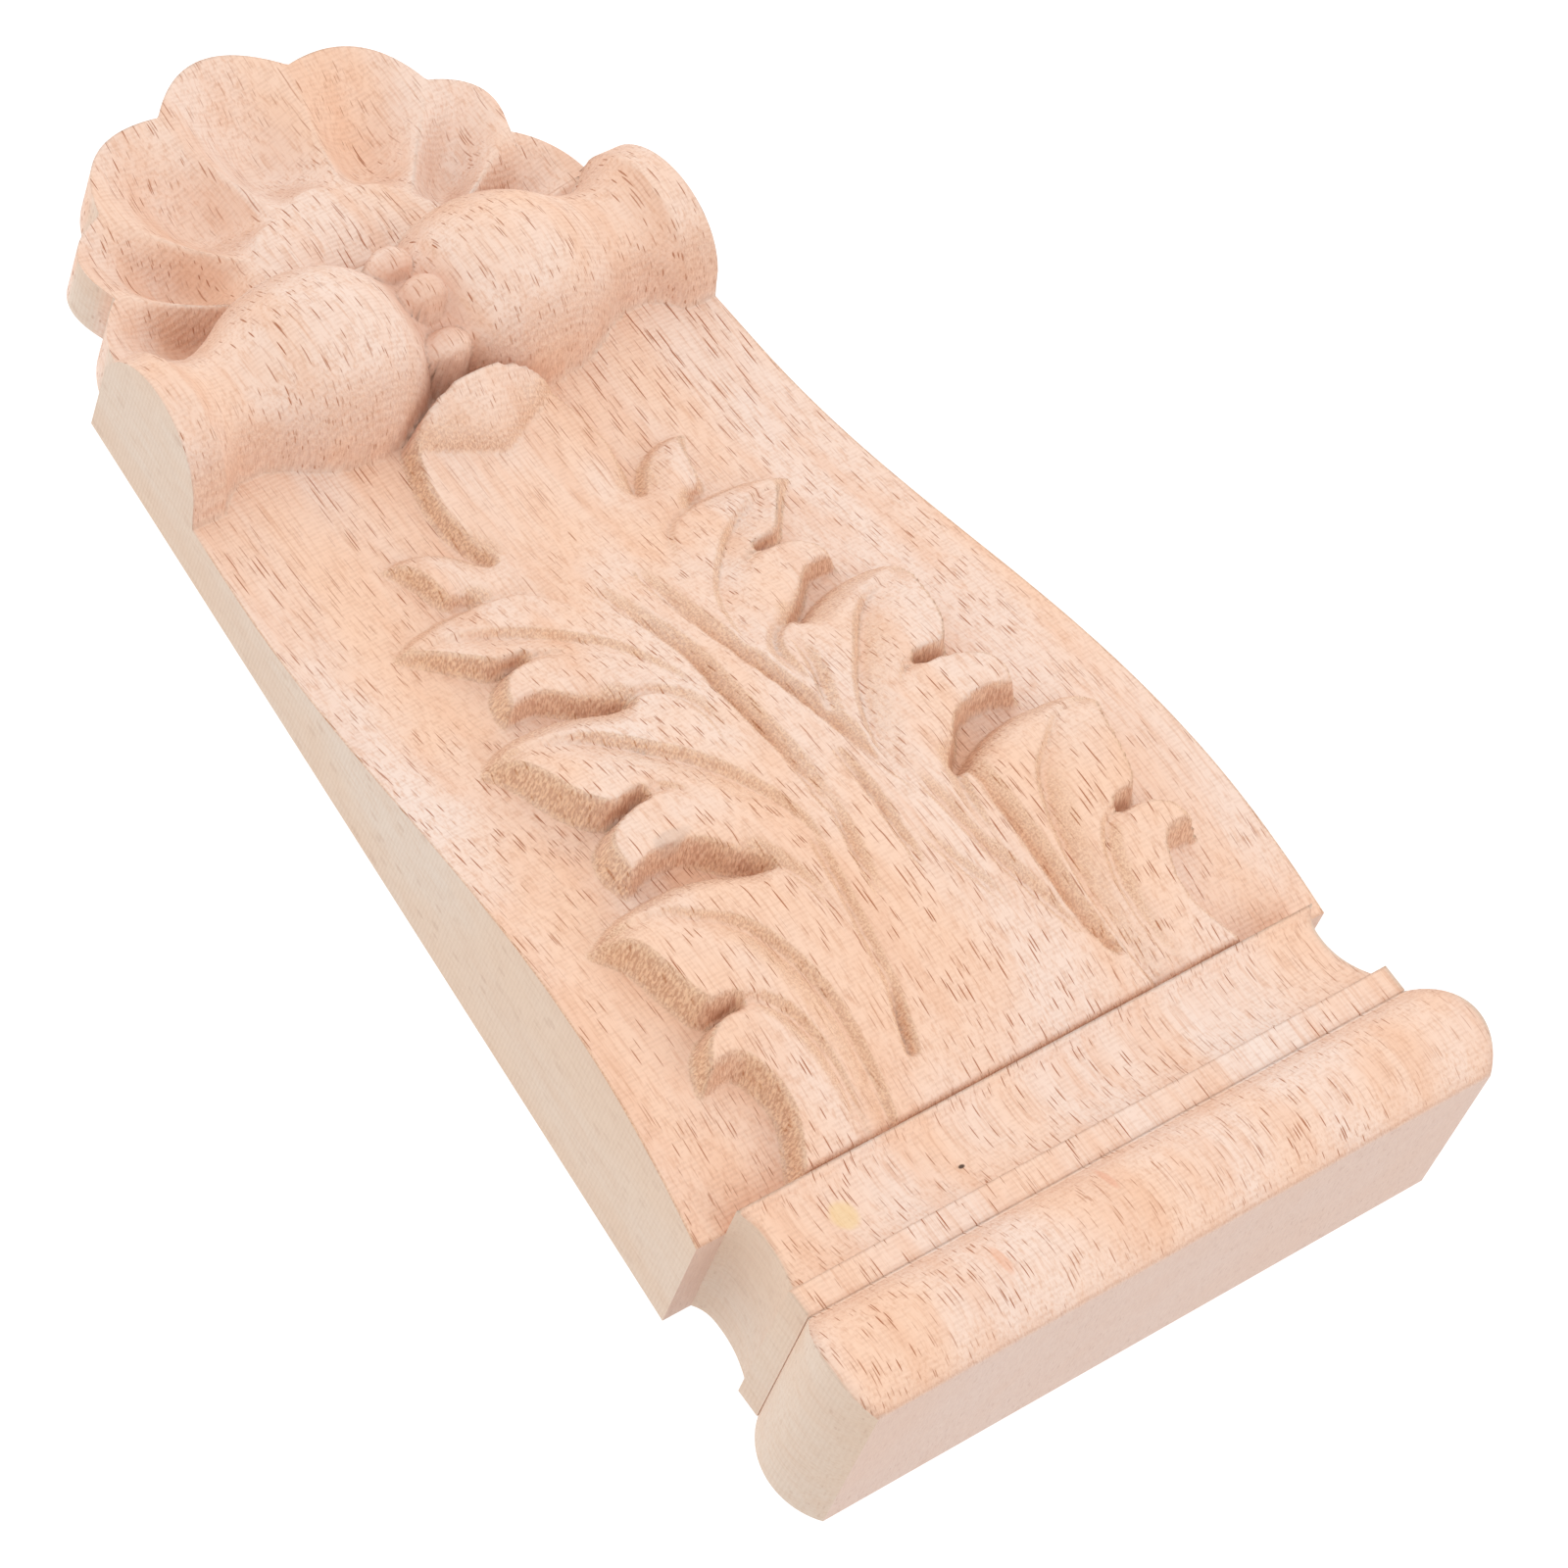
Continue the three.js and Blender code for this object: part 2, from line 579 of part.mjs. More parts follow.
// One of the beads between the balusters, counted from the middle one
function bead(step) {
  const angle = THREE.MathUtils.degToRad(step * BEAD_SPREAD - BEAD_TILT);
  const geometry = new THREE.IcosahedronGeometry(BEAD_RADIUS, 2);
  geometry.scale(BEAD_LENGTH / BEAD_RADIUS, 1, 1);
  const h = BALUSTER_AXIS_HEIGHT + BEAD_RING * Math.cos(angle);
  return geometry.translate(0, -h, LENGTH / 2 - BALUSTER_AXIS - BEAD_RING * Math.sin(angle));
}

// A wedge that cuts a groove of changing depth into the leaf, on the right side or, mirrored, on the left
function grooveWedge({ path, depth, left, right }, side) {
  const points = spline(path, GROOVE_STEPS);
  const loops = points.map(([x, u], i) => {
    const [ax, au] = points[Math.max(i - 1, 0)];
    const [bx, bu] = points[Math.min(i + 1, points.length - 1)];
    const run = Math.hypot(bx - ax, bu - au);
    const nx = (bu - au) / run;
    const nu = -(bx - ax) / run;
    const deep = through([[0, depth[0]], [0.5, depth[1]], [1, depth[2]]], i / GROOVE_STEPS);
    const surface = leafHeight(x, u);
    const open = 1 + WEDGE_RISE / deep;
    return [
      [x, -(surface - deep), u],
      [x + nx * left * open, -(surface + WEDGE_RISE), u + nu * left * open],
      [x - nx * right * open, -(surface + WEDGE_RISE), u - nu * right * open],
    ].map(([px, py, pu]) => [side * px, py, LENGTH / 2 - pu]);
  });
  return skin(side > 0 ? loops : loops.map(([a, b, c]) => [a, c, b]));
}

const wasm = await Module();
wasm.setup();

function toSolid(geometry) {
  geometry.deleteAttribute('normal');
  geometry.deleteAttribute('uv');
  const merged = mergeVertices(geometry, 1e-4);
  return new wasm.Manifold(new wasm.Mesh({
    numProp: 3,
    vertProperties: new Float32Array(merged.attributes.position.array),
    triVerts: new Uint32Array(merged.index.array),
  }));
}

// Draws together the ends of edges too short to see, wherever that leaves the skin closed
function closeShortEdges(points, facets) {
  const around = points.map(() => new Set());
  facets.forEach((facet, f) => facet.forEach((v) => around[v].add(f)));
  const neighbours = (v) => new Set([...around[v]].flatMap((f) => facets[f]).filter((w) => w !== v));
  const length = (v, w) => Math.hypot(...points[v].map((value, k) => value - points[w][k]));
  for (let v = 0; v < points.length; v += 1) {
    let w = [...neighbours(v)].find((other) => length(v, other) < SHORTEST_EDGE);
    while (w !== undefined) {
      const beside = neighbours(w);
      const shared = [...neighbours(v)].filter((other) => beside.has(other));
      if (shared.length !== 2) break;
      for (const f of [...around[w]]) {
        if (facets[f].includes(v)) {
          facets[f].forEach((corner) => around[corner].delete(f));
          facets[f] = [];
        } else {
          facets[f] = facets[f].map((corner) => (corner === w ? v : corner));
          around[v].add(f);
        }
      }
      around[w].clear();
      w = [...neighbours(v)].find((other) => length(v, other) < SHORTEST_EDGE);
    }
  }
  return facets.filter((facet) => facet.length > 0);
}

// Moves points apart that lie in the same place without being joined
function partTouching(points, facets) {
  const seen = new Map();
  const used = new Set(facets.flat());
  for (const v of used) {
    const key = points[v].map((value) => Math.round(value / TOUCHING)).join(' ');
    if (seen.has(key)) {
      const own = facets.filter((facet) => facet.includes(v)).flat();
      const centre = [0, 1, 2].map((k) => own.reduce((sum, w) => sum + points[w][k], 0) / own.length);
      const reach = Math.hypot(...centre.map((value, k) => value - points[v][k])) || 1;
      points[v] = points[v].map((value, k) => value + (2 * SHORTEST_EDGE * (centre[k] - value)) / reach);
    } else {
      seen.set(key, v);
    }
  }
}

function toGeometry(solid) {
  const { vertProperties, triVerts, numProp } = solid.getMesh();
  const points = Array.from({ length: vertProperties.length / numProp }, (_, i) => (
    [...vertProperties.slice(i * numProp, i * numProp + 3)]
  ));
  const all = Array.from({ length: triVerts.length / 3 }, (_, f) => [...triVerts.slice(3 * f, 3 * f + 3)]);
  const facets = closeShortEdges(points, all);
  partTouching(points, facets);
  const geometry = new THREE.BufferGeometry();
  const corners = facets.flatMap((facet) => facet.flatMap((v) => points[v]));
  geometry.setAttribute('position', new THREE.Float32BufferAttribute(corners, 3));
  return geometry;
}

const outline = toSolid(prism(planOutline()));
const shellBar = toSolid(crossBar([[BALUSTER_AXIS, BLOCK_HEIGHT], [LENGTH + 1, BLOCK_HEIGHT]]));
const shell = toSolid(carvedBlock(shellHeight)).intersect(shellBar);
let solid = toSolid(crossBar(abacusSection())).add(toSolid(crossBar(bodySection()))).add(shell);
solid = solid.add(toSolid(balusters()));
for (const step of [-1, 0, 1]) solid = solid.add(toSolid(bead(step)));
const leafPrism = toSolid(prism(mirrored(leafEdgeChain.slice(0, -1), [[0, TIP_END]])));
let leaf = toSolid(carvedBlock(leafHeight)).intersect(leafPrism);
for (const crease of CREASES) {
  for (const side of [-1, 1]) leaf = leaf.subtract(toSolid(grooveWedge(crease, side)));
}
for (const groove of RIB_GROOVES) leaf = leaf.subtract(toSolid(grooveWedge(groove, 1)));
solid = solid.add(leaf).intersect(outline);

const skinned = mergeVertices(toGeometry(solid), 1e-5);
skinned.computeVertexNormals();
const corbel = new THREE.Mesh(skinned, new THREE.MeshStandardMaterial(WOOD));
corbel.name = 'corbel';

const group = new THREE.Group();
group.add(corbel);

export default group;
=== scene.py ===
import math

import bpy
import numpy as np
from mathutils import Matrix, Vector


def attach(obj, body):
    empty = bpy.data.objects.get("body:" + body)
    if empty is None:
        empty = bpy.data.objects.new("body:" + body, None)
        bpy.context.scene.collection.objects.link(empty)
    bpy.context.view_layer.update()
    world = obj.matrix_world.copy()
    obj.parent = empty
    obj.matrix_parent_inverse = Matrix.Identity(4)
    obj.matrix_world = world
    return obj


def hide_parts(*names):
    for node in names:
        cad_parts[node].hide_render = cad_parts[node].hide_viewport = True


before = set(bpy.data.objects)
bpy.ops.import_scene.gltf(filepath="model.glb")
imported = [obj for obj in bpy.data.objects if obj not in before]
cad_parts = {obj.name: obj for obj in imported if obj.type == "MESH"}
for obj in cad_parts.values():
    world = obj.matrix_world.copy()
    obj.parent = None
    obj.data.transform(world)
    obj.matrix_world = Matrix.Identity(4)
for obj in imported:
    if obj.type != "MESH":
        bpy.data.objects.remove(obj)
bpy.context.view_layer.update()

MM = 0.001

# Sizes of the corbel, in millimetres; u is the distance down from the top end and h the height off the back
LENGTH = 205.0
ABACUS_DEPTH = 30.4
NECK_HALF_WIDTH = 42.7
NECK_HEIGHT = 21.6
OVOLO_PROJECTION = 6.7
OVOLO_RADIUS = 10.0
OVOLO_CENTRE = 6.8
OVOLO_BOTTOM = 14.8
FILLET_PROJECTION = 2.9
FILLET_BOTTOM = 18.6
COVE_TOP_PROJECTION = 1.7
COVE_LOWEST = 26.0
COVE_LIP_PROJECTION = 1.3

BODY_TOP_HALF_WIDTH = 48.2
BODY_FOOT_HALF_WIDTH = 38.8
BODY_FOOT = 168.0
BULGE_HEIGHT = 21.5
BULGE_AT = 56.0
SHOULDER_HEIGHT = 17.4
WAIST_HEIGHT = 7.8
WAIST_AT = 137.0

BALUSTER_AXIS = 157.0
BALUSTER_AXIS_HEIGHT = 8.2
BALUSTER_PROFILE = [
    (0, 8), (1.5, 8.2), (3, 9.2), (5.5, 11.4), (9, 13), (13, 13.6), (17.5, 13.2),
    (21.5, 11.8), (25, 9.8), (28, 8.7), (31, 8.6), (33.5, 9.8), (35.2, 11.4),
]
FLANGE_START = 35.2
FLANGE_RADIUS = 11.6
BEAD_RADIUS = 2.7
BEAD_LENGTH = 3.2
BEAD_RING = 9.3
BEAD_TILT = 2
BEAD_SPREAD = 46

SHELL_CENTRE = 160.0
SHELL_RIM_HEIGHT = 9.0
SHELL_RIDGE_HEIGHT = 8.4
SHELL_HUMP_HEIGHT = 11.2
SHELL_FLUTE_DEPTH = 5.6
SHELL_FOOT = 0.46
SHELL_LIP = 1.05
SHELL_FLUTE_PEAK = 0.62  # below 1 the flutes are deepest near their inner ends
SHELL_FLUTE_ROUNDNESS = 1.2
SHELL_BOWL_ROUNDNESS = 1.8
SHELL_TOP_HALF_WIDTH = 36.0
# x, u and bulge of the lobe before it, for each notch of the rim on one side
SHELL_NOTCHES = [(10, 199.4, 5.6), (25.2, 189.6, 4.4), (30.3, 178, 3.8), (36, 168.4, 1.3)]

WALL_RUN = 1.1
LEAF_TOP = 30.4
LEAF_TOP_ROUNDING = 1.0
LEAF_TOP_SHARE = 0.6  # share of the relief that is left right under the abacus
LEAF_LEAST_RISE = 0.15
LEAF_CROWN = [
    (30, 4.6), (38, 4.6), (46, 4.8), (56, 5.4), (66, 5.4), (74, 5.2), (86, 5.6),
    (93, 5.2), (100, 4.4), (110, 3.6), (121, 2.8), (132, 3), (150, 3),
]
BELLY_RISE = 0.4
BELLY_REACH = 5.0
LOBE_FALL_SHARPNESS = 1.4
# From the lowest lobe up: notch below, lower edge, tip, back, fall of the tip and its reach,
# and 1 where the lower edge slopes
LOBES = [
    (
        (11.6, 123.2), (17, 128.6), (24.4, 128.9),
        [(20.1, 120.4), (21.2, 124.6), (22.6, 127.6)], 0.7, 3.5, 1,
    ),
    (
        (17.2, 118.9), (25.4, 118.6), (32.4, 115.7),
        [(22, 107.9), (25.4, 111.4), (29, 115)], 0.9, 3.5, 1,
    ),
    (
        (18.4, 107.6), (23.6, 105.8), (25.6, 100.3),
        [(17.2, 97.3), (20.4, 100.2), (22.8, 100.7)], 1, 3, 0,
    ),
    (
        (13.2, 94.6), (25, 98.6), (33.5, 95.3),
        [(25.8, 81.2), (28.8, 85.1), (30.4, 91), (31.7, 94.2)], 1.2, 3.5, 1,
    ),
    (
        (21.4, 81.4), (29.4, 78.2), (29.6, 71),
        [(17.6, 68.6), (20.6, 71.7), (25.7, 72.5)], 1.2, 3, 0,
    ),
    (
        (14.6, 65.6), (27.2, 70), (39.4, 67),
        [(33.2, 52.8), (34.9, 57.5), (36.2, 63)], 1.4, 4, 1,
    ),
    (
        (29.4, 51.9), (35.4, 50.3), (38, 44.8),
        [(31.4, 38), (31.9, 42.8), (33.8, 45.6)], 1.2, 3, 0,
    ),
]
LEAF_TOP_CORNER = (34.8, 30.3)
LEAF_SIDE = (13.2, 131.5)
TIP_SIDE = (11.4, 140.6)
TIP_END = 145.9
TIP_RISE = 6.4
TIP_CURL = 0.7  # below 1 the tip turns up sharply at its crease
TIP_SIDE_FALL = 0.65
TIP_CORNER = (0.72, 1.6)  # share of the tip's half width, and distance short of its end
CREASE_APEX = 135.3
CREASE_SLOPE = 0.5
GROOVE_FLANK = 1.3  # above 1 the flanks of a groove are hollow
# Grooves on both halves: path, depth at its start, middle and end, reach of the left and the right flank
GROOVES = [
    (
        [(30.4, 116), (25.5, 115.3), (21.5, 113.9), (17.4, 111.8), (13.2, 108.6), (8.2, 103), (5.4, 95)],
        (0.4, 1.4, 0.5), 0.9, 4,
    ),
    (
        [(32, 95.3), (26, 94.1), (20.8, 91.6), (16.4, 86.9), (11.6, 80.9), (8.4, 74), (7.2, 68)],
        (0.4, 1.8, 0.8), 1.0, 4.5,
    ),
    (
        [
            (36, 66.8), (30.4, 65.8), (26.4, 63), (23.2, 60.4), (21, 56.4),
            (19.4, 51), (18.7, 45), (19.4, 36), (20.4, 30.4),
        ],
        (0.6, 1.5, 1), 0.8, 4,
    ),
    ([(17, 118.4), (14.6, 117.6), (12, 116.8), (9.4, 114.4), (6.4, 109)], (1.3, 0.9, 0.2), 2.2, 0.6),
    ([(18.4, 107.8), (15, 106.5), (12, 104.6)], (1.2, 0.9, 0.2), 0.8, 1.6),
    ([(13.4, 94.8), (11.4, 94.8), (9, 93.6), (7.4, 91), (7, 87), (7.6, 81)], (1.6, 1.2, 0.2), 2, 0.6),
    ([(21.6, 81.6), (18.6, 81), (16, 78.6)], (1.4, 1, 0.2), 0.8, 1.6),
    ([(17.2, 66.4), (15.6, 66.6), (13.8, 64.6), (12.4, 60), (11.6, 54)], (1.6, 1.2, 0.2), 2, 0.6),
    ([(29.4, 52), (26, 50.4), (23.6, 46), (22.8, 39), (24, 30.4)], (1.2, 1.2, 0.5), 0.9, 2.4),
]
# Grooves beside the midrib, each on one half only
RIBS = [
    (
        [(3.7, 68.5), (3.1, 73), (2.8, 78), (3, 84), (2.9, 90), (2.3, 95), (2.3, 100), (3, 105), (4, 111)],
        (0.6, 2.6, 0.8), 0.6, 2.3,
    ),
    (
        [(-6.9, 68), (-6, 73.5), (-5.2, 79), (-4.2, 85), (-3.4, 91), (-2.9, 97), (-2.4, 104), (-2, 111)],
        (0.8, 2.6, 0.8), 0.7, 2.3,
    ),
    (
        [(-17.2, 37.4), (-15.9, 42), (-15.4, 47), (-15.2, 52), (-15.2, 57), (-15.4, 62), (-15.8, 67)],
        (2.2, 2.2, 1.3), 0.7, 2.4,
    ),
    ([(-14.5, 41), (-12.6, 46), (-10.8, 51.5), (-9.6, 57), (-9, 63), (-8.4, 69)], (0.8, 1.2, 0.5), 0.8, 2),
    ([(13.2, 37.4), (12.2, 41), (10.9, 45.4)], (2.0, 2.5, 0.7), 0.95, 0.95),
    ([(11.2, 44), (10, 54), (8.6, 62), (7.2, 69)], (0.7, 1, 0.4), 1.0, 1.1),
    ([(-8.8, 46), (-6.8, 51), (-5, 56), (-3.5, 62)], (0.2, 0.8, 0.2), 0.8, 1.4),
    ([(-1, 55), (-1.6, 60), (-2.2, 66), (-2.6, 70), (-2.7, 74.5)], (0.2, 1.5, 0.8), 0.6, 1.2),
    ([(5.8, 55.5), (4.8, 61), (3.8, 65), (2.7, 69.5)], (0.4, 1.4, 0.5), 0.6, 1.5),
    ([(-6.2, 80), (-7.6, 83.5), (-9, 87), (-10.2, 92)], (1, 1.3, 0.3), 0.8, 1.8),
]

# Fineness of the mesh
COLUMNS = 218
BODY_ROWS = 270
SHELL_ROWS = 72
ABACUS_COLUMNS = 61
STEP = 0.02  # rows this far apart make a sharp edge
INSET = 0.02  # how far the visual surface stays inside the solid


def smooth(a, b, v):
    t = np.clip((v - a) / (b - a), 0, 1)
    return t * t * (3 - 2 * t)


def through(pairs, v):
    """Smooth curve through pairs of position and value."""
    p = np.array([a for a, _ in pairs], float)
    q = np.array([b for _, b in pairs], float)
    v = np.clip(v, p[0], p[-1])
    slope = np.empty_like(q)
    slope[1:-1] = (q[2:] - q[:-2]) / (p[2:] - p[:-2])
    slope[0] = (q[1] - q[0]) / (p[1] - p[0])
    slope[-1] = (q[-1] - q[-2]) / (p[-1] - p[-2])
    k = np.clip(np.searchsorted(p, v, side="right") - 1, 0, len(p) - 2)
    span = p[k + 1] - p[k]
    t = (v - p[k]) / span
    return (
        (2 * t**3 - 3 * t**2 + 1) * q[k] + (t**3 - 2 * t**2 + t) * span * slope[k]
        + (3 * t**2 - 2 * t**3) * q[k + 1] + (t**3 - t**2) * span * slope[k + 1]
    )


def arc(start, via, end, steps=10):
    """Points on a curve from start by way of via, up to but without end."""
    t = np.arange(steps)[:, None] / steps
    start, via, end = (np.array(p, float) for p in (start, via, end))
    control = 2 * via - (start + end) / 2
    return (1 - t) ** 2 * start + 2 * t * (1 - t) * control + t**2 * end


def spline(points, steps=7):
    """Points on a smooth curve through the given ones, so many on each stretch."""
    p = np.array(points, float)
    p = np.vstack([2 * p[0] - p[1], p, 2 * p[-1] - p[-2]])
    out = []
    for i in range(1, len(p) - 2):
        for t in np.arange(steps) / steps:
            a, b, c, d = p[i - 1 : i + 3]
            bend = (2 * a - 5 * b + 4 * c - d) * t * t + (3 * b - a - 3 * c + d) * t**3
            out.append(0.5 * (2 * b + (c - a) * t + bend))
    out.append(p[-2])
    return np.array(out)


def nearest(chain, x, u):
    """Distance to a chain of points, share of the way along it, and which side the point is on."""
    best = np.full(x.shape, 1e9)
    along = np.zeros(x.shape)
    side = np.zeros(x.shape)
    n = len(chain) - 1
    for i in range(n):
        ax, au = chain[i]
        dx, du = chain[i + 1] - chain[i]
        t = np.clip(((x - ax) * dx + (u - au) * du) / (dx * dx + du * du), 0, 1)
        ex, eu = x - ax - t * dx, u - au - t * du
        d = np.hypot(ex, eu)
        near = d < best
        best[near] = d[near]
        along[near] = ((i + t) / n)[near]
        side[near] = np.sign(ex * du - eu * dx)[near]
    return best, along, side


def inside(chain, x, u):
    """Which points lie within a closed chain."""
    within = np.zeros(x.shape, bool)
    for (ax, au), (bx, bu) in zip(chain, np.roll(chain, 1, axis=0)):
        if au != bu:
            crosses = ((au > u) != (bu > u)) & (x < ax + (bx - ax) * (u - au) / (bu - au))
            within ^= crosses
    return within


def projection(u):
    """How far the abacus stands out from its neck."""
    u = np.asarray(u, float)
    ovolo = OVOLO_PROJECTION - OVOLO_RADIUS + np.sqrt(
        np.maximum(OVOLO_RADIUS**2 - (u - OVOLO_CENTRE) ** 2, 0)
    )
    cove = COVE_TOP_PROJECTION * (1 - np.clip((u - FILLET_BOTTOM) / (COVE_LOWEST - FILLET_BOTTOM), 0, 1)) ** 2
    lip = COVE_LIP_PROJECTION * np.clip((u - COVE_LOWEST) / (ABACUS_DEPTH - COVE_LOWEST), 0, 1) ** 3
    return np.where(u <= OVOLO_BOTTOM, ovolo, np.where(u <= FILLET_BOTTOM, FILLET_PROJECTION, cove + lip))


def body_height(u):
    middle = (BULGE_HEIGHT + WAIST_HEIGHT) / 2
    swing = (BULGE_HEIGHT - WAIST_HEIGHT) / 2
    shoulder = math.acos((SHOULDER_HEIGHT - middle) / swing)
    low = middle + swing * np.cos(np.pi * np.clip((u - BULGE_AT) / (WAIST_AT - BULGE_AT), 0, 1))
    high = middle + swing * np.cos(shoulder * (BULGE_AT - u) / (BULGE_AT - ABACUS_DEPTH))
    return np.where(u >= BULGE_AT, low, high)


def baluster_height(x, u):
    across = np.abs(x)
    radius = np.where(across >= FLANGE_START, FLANGE_RADIUS, through(BALUSTER_PROFILE, across))
    off = np.minimum(np.abs(u - BALUSTER_AXIS), radius)
    h = BALUSTER_AXIS_HEIGHT + np.sqrt(radius**2 - off**2)
    return np.where(np.abs(u - BALUSTER_AXIS) < radius, h, 0)


def bead_height(x, u):
    h = np.zeros(x.shape)
    for step in (-1, 0, 1):
        angle = math.radians(step * BEAD_SPREAD - BEAD_TILT)
        along = (u - BALUSTER_AXIS - BEAD_RING * math.sin(angle)) / BEAD_RADIUS
        off = (x / BEAD_LENGTH) ** 2 + along**2
        top = BALUSTER_AXIS_HEIGHT + BEAD_RING * math.cos(angle)
        ball = top + BEAD_RADIUS * np.sqrt(np.maximum(1 - off, 0))
        h = np.maximum(h, np.where(off < 1, ball, 0))
    return h


def shell_rim():
    points = []
    start = (-SHELL_NOTCHES[0][0], SHELL_NOTCHES[0][1])
    for x, u, bulge in SHELL_NOTCHES:
        chord = math.hypot(x - start[0], u - start[1])
        via = (
            (start[0] + x) / 2 - bulge * (u - start[1]) / chord,
            (start[1] + u) / 2 + bulge * (x - start[0]) / chord,
        )
        points += [p for p in arc(start, via, (x, u), 40) if p[0] >= -1e-9]
        start = (x, u)
    points.append(np.array(start, float))
    return np.array(points)


RIM = shell_rim()
RIM_ANGLE = np.arctan2(RIM[:, 0], RIM[:, 1] - SHELL_CENTRE)
RIM_RADIUS = np.hypot(RIM[:, 0], RIM[:, 1] - SHELL_CENTRE)


def shell_height(x, u):
    across = np.abs(x)
    radius = np.hypot(across, u - SHELL_CENTRE)
    angle = np.clip(np.arctan2(across, u - SHELL_CENTRE), 0, math.pi / 2)
    order = np.argsort(RIM_ANGLE)
    rim = np.interp(angle, RIM_ANGLE[order], RIM_RADIUS[order])
    share = np.clip(radius / rim, 0, 1.1)
    notches = [math.atan2(x_, u_ - SHELL_CENTRE) for x_, u_, _ in SHELL_NOTCHES]
    bounds = np.array([-notches[0], *notches, math.pi / 2])
    k = np.clip(np.searchsorted(bounds, angle, side="right") - 1, 0, len(bounds) - 2)
    part = np.clip((angle - bounds[k]) / (bounds[k + 1] - bounds[k]), 0, 1)
    flute = np.sin(np.pi * part) ** SHELL_FLUTE_ROUNDNESS
    along = np.clip((share - SHELL_FOOT) / (SHELL_LIP - SHELL_FOOT), 0, 1)
    bowl = np.sin(np.pi * along**SHELL_FLUTE_PEAK) ** SHELL_BOWL_ROUNDNESS
    hump = SHELL_HUMP_HEIGHT - SHELL_RIDGE_HEIGHT
    base = SHELL_HUMP_HEIGHT - hump * smooth(SHELL_FOOT * 0.6, 0.75, share)
    base = base + (SHELL_RIM_HEIGHT - SHELL_RIDGE_HEIGHT) * smooth(0.8, 1, share)
    base = base - hump * (1 - smooth(0, SHELL_FOOT * 0.8, share))
    return base - SHELL_FLUTE_DEPTH * flute * bowl


def leaf_edge():
    points = []
    start = LEAF_TOP_CORNER
    for notch, belly, tip, back, *_ in reversed(LOBES):
        points += [*spline([start, *back, tip], 4)[:-1], *arc(tip, belly, notch)]
        start = notch
    points += [*arc(start, LEAF_SIDE, TIP_SIDE)]
    corner = (TIP_SIDE[0] * TIP_CORNER[0], TIP_END - TIP_CORNER[1])
    points += [*arc(TIP_SIDE, corner, (0, TIP_END)), np.array([0, TIP_END])]
    return np.array(points)


LEAF_EDGE = leaf_edge()
LEAF_OUTLINE = np.vstack([[(-1, LEAF_TOP_CORNER[1])], LEAF_EDGE, [(-1, TIP_END)]])
BELLIES = [arc(tip, belly, notch, 12) for notch, belly, tip, _, _, _, slopes in LOBES if slopes]


def groove_cut(x, u):
    cut = np.zeros(x.shape)
    for across, grooves in ((np.abs(x), GROOVES), (x, RIBS)):
        for path, depth, left, right in grooves:
            distance, along, side = nearest(spline(path), across, u)
            deep = through([(0, depth[0]), (0.5, depth[1]), (1, depth[2])], along)
            reach = np.where(side > 0, left, right)
            cut = np.maximum(cut, deep * np.clip(1 - distance / reach, 0, 1) ** GROOVE_FLANK)
    return cut


def leaf_height(x, u):
    across = np.abs(x)
    distance, _, _ = nearest(LEAF_EDGE, across, u)
    within = inside(LEAF_OUTLINE, across, u)
    wall = np.where(within, np.clip(distance / WALL_RUN, 0, 1), 0)
    rise = through(LEAF_CROWN, u)
    for belly in BELLIES:
        off, _, _ = nearest(belly, across, u)
        up = np.sin(np.pi / 2 * np.clip(off / BELLY_REACH, 0, 1))
        rise = rise * (BELLY_RISE + (1 - BELLY_RISE) * up)
    for _, _, tip, _, fall, reach, _ in LOBES:
        away = (across - tip[0]) ** 2 + (u - tip[1]) ** 2
        rise = rise - fall * np.exp(-away / reach**2 * LOBE_FALL_SHARPNESS)
    crease = CREASE_APEX + CREASE_SLOPE * across
    curl = np.clip((u - crease) / np.maximum(TIP_END - crease - 1, 1), 0, 1)
    level = 1 - TIP_SIDE_FALL * np.minimum(1, across / TIP_SIDE[0]) ** 2
    rise = rise + TIP_RISE * curl**TIP_CURL * level
    rise = rise - groove_cut(x, u)
    top = np.clip((u - LEAF_TOP) / LEAF_TOP_ROUNDING, 0, 1)
    rise = rise * (LEAF_TOP_SHARE + (1 - LEAF_TOP_SHARE) * np.sqrt(1 - (1 - top) ** 2))
    return body_height(u) + np.maximum(rise, LEAF_LEAST_RISE) * wall


def height(x, u):
    h = np.where(u < BALUSTER_AXIS, body_height(u), shell_height(x, u))
    h = np.where(u < TIP_END, np.maximum(h, leaf_height(x, u)), h)
    return np.maximum(h, np.maximum(baluster_height(x, u), bead_height(x, u)))


def closed_patch(x, u, h):
    """Vertices and faces of a solid between a grid of front points and the flat back."""
    rows, columns = x.shape
    front = np.stack([x, -h, LENGTH / 2 - u], -1).reshape(-1, 3)
    index = np.arange(rows * columns).reshape(rows, columns)
    quads = [
        (index[i, j], index[i + 1, j], index[i + 1, j + 1], index[i, j + 1])
        for i in range(rows - 1) for j in range(columns - 1)
    ]
    loop = [*index[0, ::-1], *index[1:, 0], *index[-1, 1:], *index[-2:0:-1, -1]]
    back = front[loop].copy()
    back[:, 1] = 0
    base = len(front)
    n = len(loop)
    sides = [(loop[k], base + k, base + (k + 1) % n, loop[(k + 1) % n]) for k in range(n)]
    return np.vstack([front, back]), quads, [*sides, tuple(base + k for k in range(n))[::-1]]


